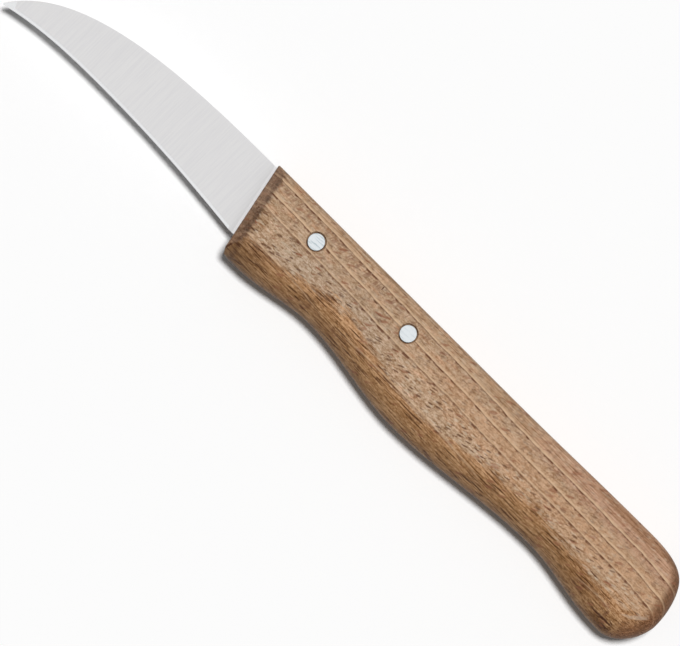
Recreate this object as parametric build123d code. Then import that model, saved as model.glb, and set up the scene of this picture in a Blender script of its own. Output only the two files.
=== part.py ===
from build123d import *
import math
import os

# Paring knife with a curved blade, a one-piece beech handle and two rivets.
# All lengths are in millimetres and all angles in degrees.
# The knife lies on one flat side. +X runs from the tip to the butt, +Y from the
# cutting edge to the spine, and +Z points up out of the upper flat side.
# It is worked out from the front of the handle's spine, on the middle plane of the
# blade, and moved at the end so that the origin lies under the middle of the knife.

# Shared by all the cuts
overrun = 6.0

# Handle: its length, its thickness and how deep it is below the spine
handle_length = 111.5
handle_thickness = 13.0
nose_depth = 19.35
front_waist_depth = 17.15
belly_depth = 19.9
rear_waist_depth = 17.2
hook_depth = 19.5

# Handle: where each of those depths lies, behind the front or before the butt
nose_place = 7.0
front_waist_place = 25.0
belly_place = 51.5
rear_waist_back = 29.5
hook_back = 8.3

# Handle: the spine is straight, then rises a little to a crown before the butt
spine_rise = 0.46
rise_back = 51.5
crown_back = 12.5

# Handle: the round end, from its top corner over the butt to its bottom corner
top_corner_back = 3.2
top_corner_drop = 1.8
top_corner_heading = -42.0
butt_drop = 11.2
bottom_corner_back = 2.6
bottom_corner_drop = 17.4
bottom_corner_heading = -135.0

# Handle: radius that each stretch of its edges is rounded to
spine_round = 1.5
top_corner_round = 2.6
butt_round = 4.2
bottom_corner_round = 5.6
belly_land = 0.6

# Handle: the slanted front, its bevels on both flat sides, and its lower corner
front_slant = 11.6
front_bevel = 2.1
front_bevel_angle = 45.0
front_corner_round = 1.3

# Blade: the curve of its spine, from the handle to the tip
blade_reach = 58.4
spine_step = 0.65
tip_drop = 15.4
spine_run = 26.1
tip_rise = 15.0
tip_angle = 56.8
tip_height = 0.4

# Blade: the hollow curve of its cutting edge
heel_drop = 15.3
edge_hollow_drop = 13.25
edge_hollow_place = 34.5
edge_rear_drop = 13.95
edge_rear_place = 13.5
edge_front_drop = 14.05
edge_front_place = 51.0

# Blade: its thickness, its ground edge and the short blunt heel
blade_thickness = 1.2
tip_thickness = 0.7
edge_thickness = 0.28
edge_flat = 0.04
bevel_height = 0.55
heel_flat = 1.6
blade_entry = 1.5

# Tang: the flat plate inside the handle, which steps up behind the heel and
# runs on past the rear rivet
tang_shoulder = 2.0
tang_step = 2.1
tang_behind_rivet = 8.4
tang_below_rivet = 2.3
tang_corner_round = 1.2

# Kerf: the slot that a round saw leaves for the tang
kerf_clearance = 0.05
kerf_below_heel = 1.2
kerf_below_tang = 0.9
saw_radius = 125.0

# Rivets: a round shank with a flat head let into each side of the handle
rivet_drop = 5.3
front_rivet_place = 15.2
rear_rivet_place = 39.6
rivet_radius = 1.6
rivet_clearance = 0.03
rivet_head_radius = 1.72
rivet_head_depth = 0.8
rivet_head_gap = 0.2
rivet_head_edge = 0.12
rivet_recess = 0.03

# Levels of the handle's loft, as shares of half its thickness, closer together
# where the edges turn over
level_shares = (0, 0.35, 0.6, 0.77, 0.88, 0.95, 0.985, 1)

# Stations of the blade's loft, as shares of the way from the heel to the tip
station_shares = (0, 0.12, 0.25, 0.4, 0.54, 0.67, 0.78, 0.87, 0.94, 0.98, 1)
bevel_limit_share = 0.4

# Sizes that follow from the ones above
half_thickness = handle_thickness / 2
kerf_depth = heel_drop + kerf_below_heel
tang_end_place = rear_rivet_place + tang_behind_rivet
tang_end_drop = rivet_drop + tang_below_rivet
belly_round = (handle_thickness - belly_land) / 2
rivet_places = {"front_rivet": front_rivet_place, "rear_rivet": rear_rivet_place}

# Headings of the handle's outline, which runs along the spine to the butt and
# back along the belly, so that the wood lies on its right hand
quarter_turn = 90.0
to_butt = 0.0
up = quarter_turn
down = -quarter_turn
to_front = 2 * quarter_turn


def heading_vector(heading):
    """Unit vector in the middle plane that points along a heading."""
    return Vector(1, 0, 0).rotate(Axis.Z, heading)


def front_x(drop):
    """Place of the handle's slanted front at a depth below the spine."""
    return drop * math.tan(math.radians(front_slant))


def handle_stations():
    """Place, heading and edge rounding of each station of the handle's outline."""
    top_corner = (handle_length - top_corner_back, -top_corner_drop)
    bottom_corner = (handle_length - bottom_corner_back, -bottom_corner_drop)
    hook = (handle_length - hook_back, -hook_depth)
    rear_waist = (handle_length - rear_waist_back, -rear_waist_depth)
    return [
        ((handle_length - rise_back, 0), to_butt, spine_round),
        ((handle_length - crown_back, spine_rise), to_butt, spine_round),
        (top_corner, top_corner_heading, top_corner_round),
        ((handle_length, -butt_drop), down, butt_round),
        (bottom_corner, bottom_corner_heading, bottom_corner_round),
        (hook, to_front, belly_round),
        (rear_waist, to_front, belly_round),
        ((belly_place, -belly_depth), to_front, belly_round),
        ((front_waist_place, -front_waist_depth), to_front, belly_round),
        ((nose_place, -nose_depth), to_front, belly_round),
    ]


def inset_at(rounding, height):
    """How far an edge of this rounding has drawn in at a height off the middle."""
    climb = max(0, height - (half_thickness - rounding))
    return rounding - math.sqrt(max(0, rounding**2 - climb**2))


def handle_level(height):
    """Outline of the handle blank at one height off the middle plane."""
    points = []
    directions = []
    for (x, y), heading, rounding in handle_stations():
        inward = heading_vector(heading - quarter_turn)
        points.append(Vector(x, y, height) + inward * inset_at(rounding, abs(height)))
        directions.append(heading_vector(heading))
    top_front = Vector(-overrun, points[0].Y, height)
    low_front = Vector(-overrun, points[-1].Y, height)
    edges = [
        Edge.make_line(top_front, points[0]),
        Edge.make_spline(points, directions),
        Edge.make_line(points[-1], low_front),
        Edge.make_line(low_front, top_front),
    ]
    return Face(Wire(edges))


def handle_blank():
    """Handle with all its edges rounded, and its front end left long."""
    upper = [share * half_thickness for share in level_shares]
    heights = [-height for height in reversed(upper[1:])] + upper
    return loft([handle_level(height) for height in heights])


def cut_front(blank):
    """Cut the slanted front and the bevel that it has on each flat side."""
    outward = heading_vector(to_front + front_slant)
    front = split(blank, Plane(origin=(0, 0, 0), z_dir=outward), Keep.BOTTOM)
    tilt = math.radians(front_bevel_angle)
    for side in (1, -1):
        corner = outward * -front_bevel + Vector(0, 0, side * half_thickness)
        facing = outward * math.sin(tilt) + Vector(0, 0, side * math.cos(tilt))
        front = split(front, Plane(origin=corner, z_dir=facing), Keep.BOTTOM)
    return front


def front_corner_cutter():
    """Prism that rounds the lower corner of the handle's front."""
    corner = Vector(front_x(nose_depth), -nose_depth, 0)
    reach = front_corner_round / math.tan(math.radians((up + front_slant) / 2))
    on_front = corner + heading_vector(up + front_slant) * reach
    on_belly = corner + heading_vector(to_butt) * reach
    centre = on_belly + Vector(0, front_corner_round, 0)
    outside = corner + (corner - centre)
    kite = Face(Wire.make_polygon([on_front, outside, on_belly, centre], close=True))
    prism = extrude(kite, amount=half_thickness, both=True)
    return prism - Pos(centre.X, centre.Y, 0) * Cylinder(front_corner_round, handle_thickness)


def kerf_cutter():
    """Disc of the round saw, whose rim runs below the heel and the end of the tang."""
    front_end = Vector(front_x(kerf_depth), -kerf_depth, 0)
    rear_end = Vector(tang_end_place, -tang_end_drop - kerf_below_tang, 0)
    chord = rear_end - front_end
    rise = math.sqrt(saw_radius**2 - (chord.length / 2) ** 2)
    centre = (front_end + rear_end) / 2 + chord.normalized().rotate(Axis.Z, quarter_turn) * rise
    width = blade_thickness + 2 * kerf_clearance
    return Pos(centre.X, centre.Y, 0) * Cylinder(saw_radius, width)


def rivet_bore(place):
    """Bore for one rivet, with the shallow seats for its two heads."""
    bore = Cylinder(rivet_radius + rivet_clearance, handle_thickness + overrun)
    seat_radius = rivet_head_radius + rivet_head_gap
    seat_depth = rivet_recess + rivet_head_depth
    for side in (1, -1):
        middle = half_thickness - seat_depth + (seat_depth + overrun) / 2
        bore += Pos(0, 0, side * middle) * Cylinder(seat_radius, seat_depth + overrun)
    return Pos(place, -rivet_drop, 0) * bore


def make_handle():
    """One block of wood with its kerf and its two rivet bores."""
    handle = cut_front(handle_blank())
    handle -= front_corner_cutter()
    handle -= kerf_cutter()
    for place in rivet_places.values():
        handle -= rivet_bore(place)
    return handle


def spine_curve():
    """Curve of the blade's spine, from the blunt heel to the tip."""
    start = Vector(front_x(spine_step) - heel_flat, -spine_step)
    tip = Vector(-blade_reach, tip_height - tip_drop)
    climb = heading_vector(tip_angle) * tip_rise
    return Edge.make_bezier(start, start - Vector(spine_run, 0), tip + climb, tip)


def edge_curve():
    """Curve of the cutting edge, from the blunt heel to the tip."""
    points = [
        Vector(front_x(heel_drop) - heel_flat, -heel_drop),
        Vector(-edge_rear_place, -edge_rear_drop),
        Vector(-edge_hollow_place, -edge_hollow_drop),
        Vector(-edge_front_place, -edge_front_drop),
        Vector(-blade_reach, -tip_drop),
    ]
    return Edge.make_spline(points)


def blade_section(share, spine, edge):
    """Ground section of the blade at a share of the way from heel to tip."""
    top = spine @ share
    low = edge @ share
    fall = low - top
    bevel = min(bevel_height, fall.length * bevel_limit_share)
    shoulder = low - fall.normalized() * bevel
    back = Vector(0, 0, blade_thickness + (tip_thickness - blade_thickness) * share) / 2
    thin = Vector(0, 0, edge_thickness) / 2
    wide = thin + (back - thin) * (bevel / fall.length)
    flat = Vector(0, 0, edge_flat) / 2
    corners = [top + back, shoulder + wide, low + flat, low - flat, shoulder - wide, top - back]
    return Face(Wire.make_polygon(corners, close=True))


def heel_section(setback):
    """Section of the blunt heel on a line that runs along the handle's front."""
    top = Vector(front_x(spine_step) + setback, -spine_step, 0)
    low = Vector(front_x(heel_drop) + setback, -heel_drop, 0)
    back = Vector(0, 0, blade_thickness) / 2
    thin = Vector(0, 0, edge_thickness) / 2
    return Face(Wire.make_polygon([top + back, low + thin, low - thin, top - back], close=True))


def make_tang():
    """Flat plate inside the handle, as thick as the blade's spine."""
    root_top = Vector(front_x(spine_step) + blade_entry, -spine_step)
    heel_corner = Vector(front_x(heel_drop) + blade_entry, -heel_drop)
    corners = [
        root_top,
        heel_corner,
        heel_corner + Vector(tang_shoulder, 0),
        heel_corner + Vector(tang_shoulder, tang_step),
        Vector(tang_end_place, -tang_end_drop),
        Vector(tang_end_place, -spine_step),
    ]
    outline = Face(Wire.make_polygon(corners, close=True))
    plate = extrude(outline, amount=blade_thickness / 2, both=True)
    rear_edges = plate.edges().filter_by(Axis.Z).group_by(Axis.X)[-1]
    return fillet(rear_edges, tang_corner_round)


def make_blade():
    """Blade and tang in one piece, with a hole for each rivet."""
    spine = spine_curve()
    edge = edge_curve()
    blade = loft([blade_section(share, spine, edge) for share in station_shares])
    blade += loft([heel_section(-heel_flat), heel_section(blade_entry)], ruled=True)
    blade += make_tang()
    for place in rivet_places.values():
        hole = Cylinder(rivet_radius + rivet_clearance, blade_thickness + overrun)
        blade -= Pos(place, -rivet_drop, 0) * hole
    return blade


def make_rivet(place):
    """Solid rivet with a head at each end, just below the wood."""
    rivet = Cylinder(rivet_radius, handle_thickness - 2 * rivet_recess)
    for side in (1, -1):
        middle = half_thickness - rivet_recess - rivet_head_depth / 2
        rivet += Pos(0, 0, side * middle) * Cylinder(rivet_head_radius, rivet_head_depth)
    rims = rivet.edges().filter_by(GeomType.CIRCLE).group_by(Axis.Z)
    rivet = fillet(rims[0] + rims[-1], rivet_head_edge)
    return Pos(place, -rivet_drop, 0) * rivet


def main():
    """Build every piece, move the knife over its origin and write the files."""
    pieces = {"blade": make_blade(), "handle": make_handle()}
    for name, place in rivet_places.items():
        pieces[name] = make_rivet(place)
    box = Compound(children=[Compound(piece.solids()) for piece in pieces.values()]).bounding_box()
    middle = box.center()
    os.makedirs("parts", exist_ok=True)
    for name, piece in pieces.items():
        placed = Pos(-middle.X, -middle.Y, -box.min.Z) * piece
        export_step(placed, f"parts/{name}.step")
        size = placed.bounding_box().size
        print(name, round(size.X, 2), round(size.Y, 2), round(size.Z, 2), round(placed.volume, 1))
    print("moved by", round(-middle.X, 3), round(-middle.Y, 3), round(-box.min.Z, 3))


main()
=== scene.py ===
"""Paring knife with a curved blade, a one-piece beech handle and two rivets.

The knife lies on one flat side. +X runs from the tip to the butt, +Y from the cutting
edge to the spine, and +Z points up out of the upper flat side. The sizes in the classes
are millimetres and degrees, measured from the front of the handle's spine on the
blade's middle plane, with depths below the spine running towards -Y. Only the finishes
measure from the origin of the shared frame, apart from their single marks, and the rings
of the beech are measured from the pith of the tree.
"""

import logging
import math
from abc import ABC, abstractmethod
from collections.abc import Callable, Mapping, Sequence
from dataclasses import dataclass, field
from enum import Enum
from functools import reduce

import bmesh
import bpy
from mathutils import Matrix, Vector
from mathutils.geometry import interpolate_bezier


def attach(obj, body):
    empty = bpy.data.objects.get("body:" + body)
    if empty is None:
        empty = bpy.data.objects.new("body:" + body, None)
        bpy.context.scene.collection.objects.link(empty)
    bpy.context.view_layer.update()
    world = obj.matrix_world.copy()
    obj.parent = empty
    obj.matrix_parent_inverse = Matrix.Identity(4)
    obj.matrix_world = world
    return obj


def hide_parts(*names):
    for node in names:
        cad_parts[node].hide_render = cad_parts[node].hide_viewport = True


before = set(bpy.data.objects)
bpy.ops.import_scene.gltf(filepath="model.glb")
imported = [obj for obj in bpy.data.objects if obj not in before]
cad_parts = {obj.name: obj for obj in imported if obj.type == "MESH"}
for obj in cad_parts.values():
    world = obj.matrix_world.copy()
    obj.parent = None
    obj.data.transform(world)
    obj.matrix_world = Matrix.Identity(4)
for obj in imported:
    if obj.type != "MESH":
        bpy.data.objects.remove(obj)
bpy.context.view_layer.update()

log = logging.getLogger("paring_knife")

MM = 0.001
SPINE_FRONT = Vector((-26.552, 9.709, 6.5))
UPPER_SIDE = 2 * SPINE_FRONT.z
FRONT_SLANT = 11.6
TEETH_RADIUS = 13.34
STRIP_RADIUS = 16.07
ORIGIN = (0.0, 0.0, 0.0)
WELD = 0.002
QUARTER_TURN = 90.0

Colour = tuple[float, float, float, float]
Profile = Sequence[tuple[float, float]]
Range = tuple[float, float]


class Node(Enum):
    """Names of the knife's four solids."""

    BLADE = "blade"
    HANDLE = "handle"
    FRONT_RIVET = "front_rivet"
    REAR_RIVET = "rear_rivet"


class Slot(Enum):
    """Names of the material slots."""

    STEEL = "blade_steel"
    BEECH = "beech"
    ALUMINIUM = "rivet_aluminium"


class Side(Enum):
    """The two flat sides of the knife, as directions along Z."""

    UPPER = 1
    LOWER = -1


class Joining(Enum):
    """Ways in which one solid is combined with another."""

    CUT = "DIFFERENCE"
    FUSE = "UNION"


class Sum(Enum):
    """Sums that a shader node can do."""

    ADD = "ADD"
    TAKE = "SUBTRACT"
    TIMES = "MULTIPLY"
    OVER = "DIVIDE"
    POWER = "POWER"
    COSINE = "COSINE"
    LEAST = "MINIMUM"
    MOST = "MAXIMUM"
    ROOT = "SQRT"
    ANGLE = "ARCTAN2"


class Blending(Enum):
    """Ways in which one colour is laid over another."""

    COVER = "MIX"
    STAIN = "MULTIPLY"


def heading_vector(heading: float) -> Vector:
    """Work out the unit vector in the middle plane that points along a heading.

    Args:
        heading: Angle from +X towards +Y, in degrees.

    Returns:
        The unit vector.
    """
    turn = math.radians(heading)
    return Vector((math.cos(turn), math.sin(turn), 0.0))


def slanted_front(drop: float) -> float:
    """Find where the handle's slanted front is at a depth below the spine."""
    return drop * math.tan(math.radians(FRONT_SLANT))


def in_frame(point: Vector) -> Vector:
    """Move a point from the knife's own millimetres into the shared frame in metres."""
    return (point + SPINE_FRONT) * MM


def linear(red: int, green: int, blue: int) -> Colour:
    """Turn a colour as it shows on a screen into the shader's linear values.

    Args:
        red: Red from 0 to 255.
        green: Green from 0 to 255.
        blue: Blue from 0 to 255.

    Returns:
        The four linear values, with an alpha of one.
    """
    whole, knee, slope, lift, power = 255, 0.04045, 12.92, 0.055, 2.4

    def channel(level: int) -> float:
        """Turn one channel into its linear value."""
        share = level / whole
        return share / slope if share <= knee else ((share + lift) / (1 + lift)) ** power

    return (channel(red), channel(green), channel(blue), 1.0)


def station_pulls(points: Sequence[Vector], headings: Sequence[Vector]) -> list[Vector]:
    """Find how strongly a path runs on through each of its stations.

    Args:
        points: Stations of the path.
        headings: Unit direction of the path at each station.

    Returns:
        For each station the direction, scaled to the speed of a parabola through it
        and its neighbours, with the distance between stations as time.
    """
    times = [0.0]
    for here, there in zip(points, points[1:]):
        times.append(times[-1] + (there - here).length)
    pulls = []
    window = 3
    for index, heading in enumerate(headings):
        first = min(max(index - 1, 0), len(points) - window)
        near = range(first, first + window)
        speed = Vector((0.0, 0.0, 0.0))
        for one in near:
            before, after = (other for other in near if other != one)
            spread = (times[one] - times[before]) * (times[one] - times[after])
            lean = (times[index] - times[before]) + (times[index] - times[after])
            speed += points[one] * (lean / spread)
        size = sum(abs(part) for part in speed) / sum(abs(part) for part in heading)
        pulls.append(heading * size)
    return pulls


def smooth_path(
    points: Sequence[Vector], headings: Sequence[Vector], counts: Sequence[int]
) -> list[Vector]:
    """Draw a smooth path through stations with a given direction at each.

    Args:
        points: Stations of the path.
        headings: Unit direction of the path at each station.
        counts: Number of steps between one station and the next.

    Returns:
        Points along the path, the first and the last station among them.
    """
    pulls = station_pulls(points, headings)
    path = [points[0]]
    for index, count in enumerate(counts):
        here, there = points[index], points[index + 1]
        third = (there - here).length / 3
        leaving = here + pulls[index] * third
        arriving = there - pulls[index + 1] * third
        path += interpolate_bezier(here, leaving, arriving, there, count + 1)[1:]
    return path


def at_share(path: Sequence[Vector], share: float) -> Vector:
    """Find the point at a share of the length of a path.

    Args:
        path: Points along the path.
        share: Share of its length, from 0 to 1.

    Returns:
        The point on the path.
    """
    lengths = [(there - here).length for here, there in zip(path, path[1:])]
    left = share * sum(lengths)
    for here, there, length in zip(path, path[1:], lengths):
        if left <= length:
            return here.lerp(there, left / length)
        left -= length
    return path[-1].copy()


def close_holes(skin: bmesh.types.BMesh) -> None:
    """Put a face over every open edge loop of a mesh and turn its faces outward.

    Args:
        skin: Mesh to close.
    """
    rims = [edge for edge in skin.edges if edge.is_boundary]
    bmesh.ops.holes_fill(skin, edges=rims, sides=0)
    bmesh.ops.recalc_face_normals(skin, faces=skin.faces)


def skin_rings(rings: Sequence[Sequence[Vector]]) -> bmesh.types.BMesh:
    """Skin a closed tube through rings that all have the same number of points.

    Args:
        rings: Rings of points, in order along the tube.

    Returns:
        A closed mesh with a face over each end.
    """
    around = len(rings[0])
    skin = bmesh.new()
    grid = bmesh.ops.create_grid(skin, x_segments=around, y_segments=len(rings) - 1, size=1.0)
    places = [ring[column % around] for ring in rings for column in range(around + 1)]
    for vert, place in zip(grid["verts"], places):
        vert.co = place
    bmesh.ops.remove_doubles(skin, verts=skin.verts, dist=WELD)
    close_holes(skin)
    return skin


def slice_off(skin: bmesh.types.BMesh, point: Vector, facing: Vector) -> None:
    """Cut a mesh with a plane, drop what lies in front of it and close the cut.

    Args:
        skin: Mesh to cut.
        point: Point on the plane.
        facing: Direction of the side that is dropped.
    """
    everything = [*skin.verts, *skin.edges, *skin.faces]
    bmesh.ops.bisect_plane(
        skin, geom=everything, dist=WELD, plane_co=point, plane_no=facing, clear_outer=True
    )
    close_holes(skin)


def drum(radius: float, length: float, middle: Vector, segments: int) -> bmesh.types.BMesh:
    """Make a round bar that stands along Z.

    Args:
        radius: Radius of the bar.
        length: Length of the bar.
        middle: Middle of the bar.
        segments: Number of flats around it.

    Returns:
        The bar.
    """
    bar = bmesh.new()
    bmesh.ops.create_cone(
        bar,
        cap_ends=True,
        segments=segments,
        radius1=radius,
        radius2=radius,
        depth=length,
        matrix=Matrix.Translation(middle),
    )
    return bar


def turned(profile: Profile, axis: Vector, steps: int) -> bmesh.types.BMesh:
    """Turn a profile about an upright axis into a closed round piece.

    Args:
        profile: Radius and height of each point, from the lower pole to the upper one.
        axis: Point that the axis passes through.
        steps: Number of steps round the axis.

    Returns:
        The turned piece.
    """
    skin = bmesh.new()
    verts = [skin.verts.new(axis + Vector((radius, 0.0, height))) for radius, height in profile]
    edges = [skin.edges.new(pair) for pair in zip(verts, verts[1:])]
    bmesh.ops.spin(
        skin,
        geom=[*verts, *edges],
        cent=axis,
        axis=(0.0, 0.0, 1.0),
        angle=math.tau,
        steps=steps,
        use_merge=True,
    )
    bmesh.ops.remove_doubles(skin, verts=skin.verts, dist=WELD)
    bmesh.ops.recalc_face_normals(skin, faces=skin.faces)
    return skin


def soften(
    skin: bmesh.types.BMesh, edges: Sequence[bmesh.types.BMEdge], size: float, steps: int
) -> None:
    """Round off some edges of a mesh.

    Args:
        skin: Mesh to change.
        edges: Edges to round off.
        size: How far the rounding reaches from each edge.
        steps: Number of steps across the rounding.
    """
    bmesh.ops.bevel(
        skin,
        geom=edges,
        offset=size,
        segments=steps,
        profile=0.5,
        affect="EDGES",
        clamp_overlap=False,
        material=-1,
    )


def link_object(name: str, data: bpy.types.ID) -> bpy.types.Object:
    """Make an object and put it into the scene.

    Args:
        name: Name of the object.
        data: Mesh, lamp or camera that it shows.

    Returns:
        The object, at the origin.
    """
    thing = bpy.data.objects.new(name, data)
    bpy.context.scene.collection.objects.link(thing)
    return thing


def make_object(
    skin: bmesh.types.BMesh, name: str, finishes: Sequence[bpy.types.Material], number: int = 0
) -> bpy.types.Object:
    """Turn a mesh in the knife's own millimetres into an object in the shared frame.

    Args:
        skin: Mesh, which is used up.
        name: Name of the object.
        finishes: Materials of the object, in the order that its faces number them.
        number: Number that is added to the material number of every face.

    Returns:
        The object, at the origin, unturned and unscaled.
    """
    for vert in skin.verts:
        vert.co = in_frame(vert.co)
    for face in skin.faces:
        face.material_index += number
    mesh = bpy.data.meshes.new(name)
    skin.to_mesh(mesh)
    skin.free()
    for finish in finishes:
        mesh.materials.append(finish)
    return link_object(name, mesh)


def combine(piece: bpy.types.Object, tool: bpy.types.Object, joining: Joining) -> None:
    """Cut a piece with a tool, or fuse the two, and delete the tool.

    Args:
        piece: Object that is changed.
        tool: Object that is used up.
        joining: Whether the tool is cut away or added.
    """
    step = piece.modifiers.new("step", "BOOLEAN")
    step.operation = joining.value
    step.solver = "EXACT"
    step.object = tool
    shown = piece.evaluated_get(bpy.context.evaluated_depsgraph_get())
    result = bpy.data.meshes.new_from_object(shown)
    piece.modifiers.clear()
    before, used = piece.data, tool.data
    piece.data = result
    result.name = piece.name
    bpy.data.objects.remove(tool, do_unlink=True)
    bpy.data.meshes.remove(before)
    bpy.data.meshes.remove(used)


def shade(piece: bpy.types.Object, crease: float) -> None:
    """Shade a piece smooth, with a sharp line wherever its faces meet at an angle.

    Args:
        piece: Object to shade.
        crease: Angle in degrees from which an edge is sharp.
    """
    mesh = piece.data
    mesh.shade_smooth()
    mesh.set_sharp_from_angle(angle=math.radians(crease))
    weighting = piece.modifiers.new("even_normals", "WEIGHTED_NORMAL")
    weighting.mode = "FACE_AREA"
    weighting.keep_sharp = True


def sharpen_between_materials(mesh: bpy.types.Mesh) -> None:
    """Mark as sharp each edge of a mesh where one material meets another.

    Args:
        mesh: Mesh to mark.
    """
    skin = bmesh.new()
    skin.from_mesh(mesh)
    for edge in skin.edges:
        if len({face.material_index for face in edge.link_faces}) > 1:
            edge.smooth = False
    skin.to_mesh(mesh)
    skin.free()


def hand_over(piece: bpy.types.Object, node: Node) -> None:
    """Let a finished piece stand for its solid and ride with the knife.

    Args:
        piece: Finished object.
        node: Solid that it stands for.
    """
    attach(piece, "root")
    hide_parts(node.value)
    log.info("%s: %d faces", piece.name, len(piece.data.polygons))


def method_of(kind: Sum, swapped: bool = False) -> Callable[["Value", "Source"], "Value"]:
    """Make the method that does a sum with a value and another one.

    Args:
        kind: The sum to do.
        swapped: Whether the other value comes first.

    Returns:
        The method.
    """

    def method(value: "Value", other: "Source") -> "Value":
        """Do the sum."""
        first, second = (other, value) if swapped else (value, other)
        return value.wiring.sum(kind, first, second)

    return method


@dataclass(frozen=True)
class Value:
    """One output in a node tree. A sum with it is written as usual, and adds a node."""

    wiring: "Wiring"
    socket: bpy.types.NodeSocket

    __add__ = method_of(Sum.ADD)
    __sub__ = method_of(Sum.TAKE)
    __rsub__ = method_of(Sum.TAKE, swapped=True)
    __mul__ = method_of(Sum.TIMES)
    __rmul__ = method_of(Sum.TIMES, swapped=True)
    __truediv__ = method_of(Sum.OVER)
    __rtruediv__ = method_of(Sum.OVER, swapped=True)
    __pow__ = method_of(Sum.POWER)
    most = method_of(Sum.MOST)
    least = method_of(Sum.LEAST)

    def step(self, low: float, high: float, soft: bool = True) -> "Value":
        """Rise from nought to one while this value goes from one limit to the other.

        Args:
            low: Value at which the result is nought.
            high: Value at which the result is one.
            soft: Whether the rise eases in and out.

        Returns:
            A share from nought to one.
        """
        falling = high < low
        limits = {"From Min": min(low, high), "From Max": max(low, high)}
        results = {"To Min": float(falling), "To Max": float(not falling)}
        return self.wiring.add(
            "MapRange",
            {"Value": self, **limits, **results},
            interpolation_type="SMOOTHSTEP" if soft else "LINEAR",
            clamp=True,
        )

    def spread(self, low: float, high: float) -> "Value":
        """Map nought to one result and one to another, and go on past them."""
        return self if (low, high) == (0.0, 1.0) else self * (high - low) + low

    def sway(self, reach: float) -> "Value":
        """Map nought to one end of a sway and one to the other."""
        return self.spread(-reach, reach)


Source = Value | float | tuple[float, ...]
Place = tuple[Value, Value, Value]


@dataclass(frozen=True)
class Coat:
    """How a surface shines, and how strong and deep its marks are."""

    roughness: float
    mark_strength: float
    mark_depth: float
    metallic: float = 0.0
    specular: float = 0.5


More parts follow.
